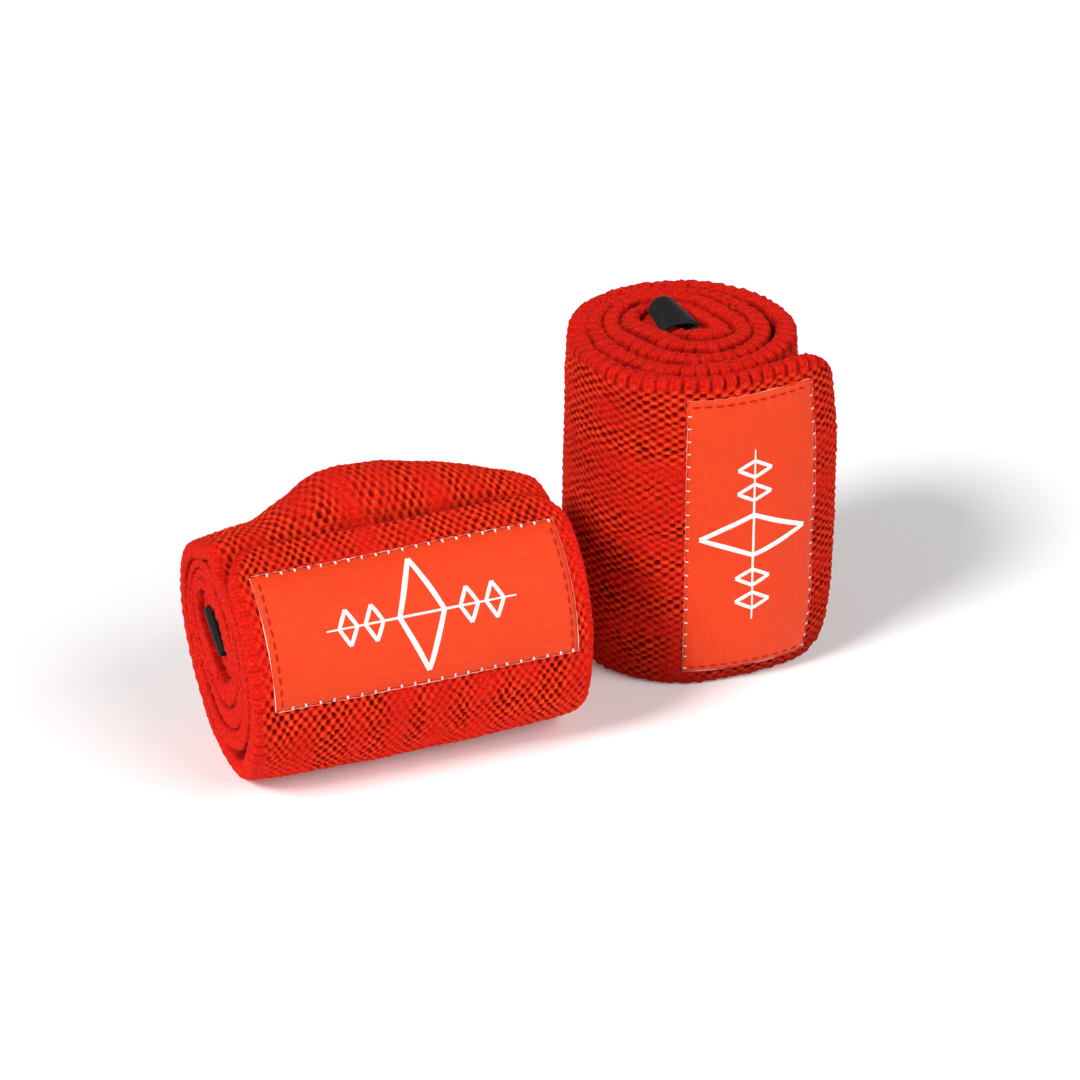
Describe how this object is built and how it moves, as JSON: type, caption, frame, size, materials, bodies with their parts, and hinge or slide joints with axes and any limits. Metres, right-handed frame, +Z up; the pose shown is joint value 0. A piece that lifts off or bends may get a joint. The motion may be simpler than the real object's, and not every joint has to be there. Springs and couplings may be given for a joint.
{
  "type": "hand wrap",
  "caption": "Pair of rolled elastic hand wraps with stitched label patches, hook tape ends and black thumb loops, one standing and one lying.",
  "frame": {"origin": "centre of the pair's footprint, on the surface it stands on", "axes": "+X to the standing wrap's side, the pair's longest extent; +Y away from the labels' side; +Z up, along the standing roll"},
  "size_m": [0.1492, 0.1116, 0.0842],
  "materials": {
    "knit": "heavy ribbed elastic knit, matt",
    "label_satin": "woven satin with a white print",
    "hook_tape": "nylon hook tape",
    "red_thread": "sewing thread",
    "white_thread": "sewing thread",
    "black_elastic": "narrow ribbed elastic, matt"
  },
  "bodies": {
    "standing_roll": {"standing_band": "knit", "standing_loop_tail": "black_elastic", "standing_bartack": "red_thread"},
    "standing_end": {"standing_tab": "knit", "standing_label": "label_satin", "standing_hook_tape": "hook_tape", "standing_label_seam": "red_thread", "standing_edge_stitch": "white_thread"},
    "standing_loop": {"standing_thumb_loop": "black_elastic"},
    "lying_roll": {"lying_band": "knit", "lying_loop_tail": "black_elastic", "lying_bartack": "red_thread"},
    "lying_end": {"lying_tab": "knit", "lying_label": "label_satin", "lying_hook_tape": "hook_tape", "lying_label_seam": "red_thread", "lying_edge_stitch": "white_thread"},
    "lying_loop": {"lying_thumb_loop": "black_elastic"}
  },
  "joints": [
    {"name": "standing_tab_peel", "type": "hinge", "parent": "standing_roll", "child": "standing_end", "pos_m": [0.03852, 0.00129, 0.04], "axis": [0, 0, -1], "range_deg": [0, 80]},
    {"name": "standing_loop_pull", "type": "slide", "parent": "standing_roll", "child": "standing_loop", "axis": [0, 0, 1], "range_m": [0, 0.012]},
    {"name": "lying_wrap_slide", "type": "slide", "parent": "standing_roll", "child": "lying_roll", "axis": [-0.9304, -0.3665, 0], "range_m": [0, 0.12]},
    {"name": "lying_tab_peel", "type": "hinge", "parent": "lying_roll", "child": "lying_end", "pos_m": [-0.01728, -0.04112, 0.02597], "axis": [0.9304, 0.3665, 0], "range_deg": [0, 80]},
    {"name": "lying_loop_pull", "type": "slide", "parent": "lying_roll", "child": "lying_loop", "axis": [-0.9304, -0.3665, 0], "range_m": [0, 0.014]}
  ]
}
